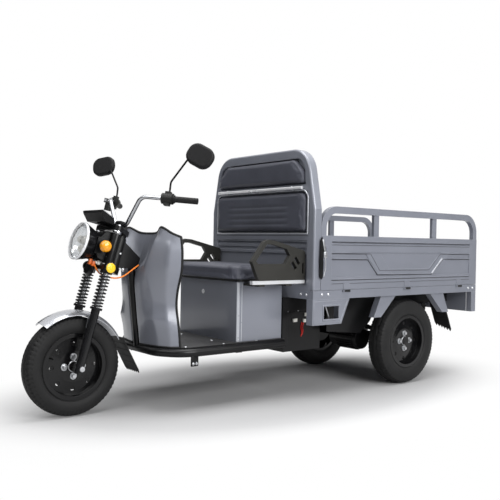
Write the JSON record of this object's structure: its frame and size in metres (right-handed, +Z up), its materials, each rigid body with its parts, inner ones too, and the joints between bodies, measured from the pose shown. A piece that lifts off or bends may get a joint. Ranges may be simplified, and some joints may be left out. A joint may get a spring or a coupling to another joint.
{
  "type": "electric cargo tricycle",
  "caption": "Electric cargo tricycle with a sprung front fork, a seat box with a cushion, a padded headboard and a bed with drop sides, on pneumatic tyres with a leaf-sprung rear axle",
  "frame": {"origin": "On the ground, midway along the length and the width", "axes": "+X forward, +Y to the rider's left, +Z up"},
  "size_m": [3.0722, 1.06, 1.441],
  "materials": {
    "body_paint": "metallic gloss",
    "frame_black": "satin",
    "trim_black": "grained",
    "gloss_black": "polished",
    "upholstery": "soft grained",
    "bright_metal": "polished",
    "steel": "brushed",
    "alloy": "cast",
    "silver_paint": "satin",
    "tyre": "matte",
    "rubber": "matte",
    "red_lens": "clear coloured",
    "amber_lens": "clear coloured",
    "clear_glass": "polished",
    "orange_lead": "matte",
    "battery_grey": "matte"
  },
  "bodies": {
    "chassis": {"neck_frame": "frame_black", "floor_hoop": "frame_black", "floor_plate": "frame_black", "chassis_frame": "frame_black", "leg_shield": "body_paint", "seat_box": "body_paint", "armrests": "trim_black", "grab_rails": "bright_metal", "headboard": "body_paint", "back_pads": "upholstery", "bed_floor": "body_paint", "tail_board": "body_paint", "tail_lamps": "red_lens", "under_bed_brackets": "body_paint", "rear_mud_flaps": "rubber", "battery_box": "frame_black", "battery_pack": "battery_grey", "motor_controller": "alloy", "leaf_springs": "frame_black", "lamp_lead": "orange_lead"},
    "steering": {"fork_clamps": "frame_black", "fork_stanchions": "bright_metal", "fork_springs": "frame_black", "handlebar": "bright_metal", "left_grip": "rubber", "switch_housings": "trim_black", "headlight_shell": "gloss_black", "headlight_lens": "clear_glass", "instrument_pod": "gloss_black", "turn_signals": "amber_lens", "horn": "frame_black"},
    "fork_slider": {"fork_sliders": "frame_black", "front_mudguard": "silver_paint", "front_mud_flap": "rubber", "front_axle": "steel"},
    "front_wheel": {"front_tyre": "tyre", "front_rim": "frame_black"},
    "rear_axle": {"axle_housing": "frame_black", "drive_motor": "frame_black"},
    "rear_wheel_left": {"rear_tyre_left": "tyre", "rear_rim_left": "frame_black"},
    "rear_wheel_right": {"rear_tyre_right": "tyre", "rear_rim_right": "frame_black"},
    "side_gate_left": {"side_gate_left": "body_paint"},
    "side_gate_right": {"side_gate_right": "body_paint"},
    "tailgate": {"tailgate": "body_paint"},
    "latch_front_left": {"latch_front_left": "steel"},
    "latch_rear_left": {"latch_rear_left": "steel"},
    "latch_front_right": {"latch_front_right": "steel"},
    "latch_rear_right": {"latch_rear_right": "steel"},
    "seat": {"seat_pan": "trim_black", "seat_cushion": "upholstery"},
    "seat_lock": {"seat_lock": "bright_metal"},
    "brake_pedal": {"brake_pedal": "frame_black"},
    "brake_lever": {"brake_lever": "alloy"},
    "throttle": {"throttle_grip": "rubber"},
    "mirror_left": {"mirror_left": "gloss_black"},
    "mirror_right": {"mirror_right": "gloss_black"},
    "horn_button": {"horn_button": "red_lens"},
    "ignition_key": {"ignition_key": "steel"}
  },
  "joints": [
    {"name": "steering_turn", "type": "hinge", "parent": "chassis", "child": "steering", "pos_m": [1.03879, 0, 0.82584], "axis": [-0.2756, 0, 0.9613], "range_deg": [-40, 40], "deforming": ["lamp_lead"]},
    {"name": "fork_travel", "type": "slide", "parent": "steering", "child": "fork_slider", "axis": [-0.2756, 0, 0.9613], "range_m": [0, 0.04], "stiffness_N_per_m": 15000, "springref_m": -0.08, "deforming": ["fork_springs"]},
    {"name": "front_wheel_spin", "type": "hinge", "parent": "fork_slider", "child": "front_wheel", "pos_m": [1.28315, 0, 0.253], "axis": [0, 1, 0], "continuous": true},
    {"name": "rear_suspension", "type": "slide", "parent": "chassis", "child": "rear_axle", "axis": [0, 0, 1], "range_m": [0, 0.045], "stiffness_N_per_m": 60000, "springref_m": -0.05, "deforming": ["leaf_springs"]},
    {"name": "rear_wheel_left_spin", "type": "hinge", "parent": "rear_axle", "child": "rear_wheel_left", "pos_m": [-0.82685, 0.398, 0.273], "axis": [0, 1, 0], "continuous": true},
    {"name": "rear_wheel_right_spin", "type": "hinge", "parent": "rear_axle", "child": "rear_wheel_right", "pos_m": [-0.82685, -0.398, 0.273], "axis": [0, 1, 0], "continuous": true},
    {"name": "side_gate_left_hinge", "type": "hinge", "parent": "chassis", "child": "side_gate_left", "pos_m": [-0.75485, 0.497, 0.622], "axis": [-1, 0, 0], "range_deg": [0, 160]},
    {"name": "side_gate_right_hinge", "type": "hinge", "parent": "chassis", "child": "side_gate_right", "pos_m": [-0.75485, -0.497, 0.622], "axis": [1, 0, 0], "range_deg": [0, 160]},
    {"name": "tailgate_hinge", "type": "hinge", "parent": "chassis", "child": "tailgate", "pos_m": [-1.52385, 0, 0.622], "axis": [0, -1, 0], "range_deg": [0, 160]},
    {"name": "latch_front_left_turn", "type": "hinge", "parent": "side_gate_left", "child": "latch_front_left", "pos_m": [-0.01485, 0.501, 0.88], "axis": [0, 1, 0], "range_deg": [0, 75]},
    {"name": "latch_rear_left_turn", "type": "hinge", "parent": "tailgate", "child": "latch_rear_left", "pos_m": [-1.52785, 0.431, 0.88], "axis": [-1, 0, 0], "range_deg": [0, 75]},
    {"name": "latch_front_right_turn", "type": "hinge", "parent": "side_gate_right", "child": "latch_front_right", "pos_m": [-0.01485, -0.501, 0.88], "axis": [0, 1, 0], "range_deg": [0, 75]},
    {"name": "latch_rear_right_turn", "type": "hinge", "parent": "tailgate", "child": "latch_rear_right", "pos_m": [-1.52785, -0.431, 0.88], "axis": [1, 0, 0], "range_deg": [0, 75]},
    {"name": "seat_hinge", "type": "hinge", "parent": "chassis", "child": "seat", "pos_m": [0.11015, 0, 0.69], "axis": [0, -1, 0], "range_deg": [0, 50]},
    {"name": "seat_lock_turn", "type": "hinge", "parent": "chassis", "child": "seat_lock", "pos_m": [0.44815, -0.039, 0.604], "axis": [1, 0, 0], "range_deg": [0, 90]},
    {"name": "brake_pedal_press", "type": "hinge", "parent": "chassis", "child": "brake_pedal", "pos_m": [0.77315, -0.15, 0.371], "axis": [0, 1, 0], "range_deg": [0, 20], "stiffness_Nm_per_rad": 6, "springref_deg": -20.05},
    {"name": "brake_lever_squeeze", "type": "hinge", "parent": "steering", "child": "brake_lever", "pos_m": [0.94523, -0.31774, 1.12081], "axis": [0.2193, -0.0732, -0.9729], "range_deg": [0, 8.5], "stiffness_Nm_per_rad": 1.5, "springref_deg": -17.19},
    {"name": "throttle_twist", "type": "hinge", "parent": "steering", "child": "throttle", "pos_m": [0.84655, -0.35797, 1.1016], "axis": [-0.6161, -0.7836, -0.0799], "range_deg": [0, 70], "stiffness_Nm_per_rad": 0.25, "springref_deg": -17.19},
    {"name": "mirror_left_turn", "type": "hinge", "parent": "steering", "child": "mirror_left", "pos_m": [0.90437, 0.28443, 1.1091], "axis": [-0.2756, 0, 0.9613], "range_deg": [-25, 25]},
    {"name": "mirror_right_turn", "type": "hinge", "parent": "steering", "child": "mirror_right", "pos_m": [0.90437, -0.28443, 1.1091], "axis": [-0.2756, 0, 0.9613], "range_deg": [-25, 25]},
    {"name": "horn_button_press", "type": "slide", "parent": "steering", "child": "horn_button", "axis": [0.7565, 0.6169, 0.2169], "range_m": [0, 0.003], "stiffness_N_per_m": 400, "springref_m": -0.003},
    {"name": "ignition_key_turn", "type": "hinge", "parent": "steering", "child": "ignition_key", "pos_m": [1.07311, 0, 0.98548], "axis": [-0.2756, 0, 0.9613], "range_deg": [0, 90]}
  ]
}
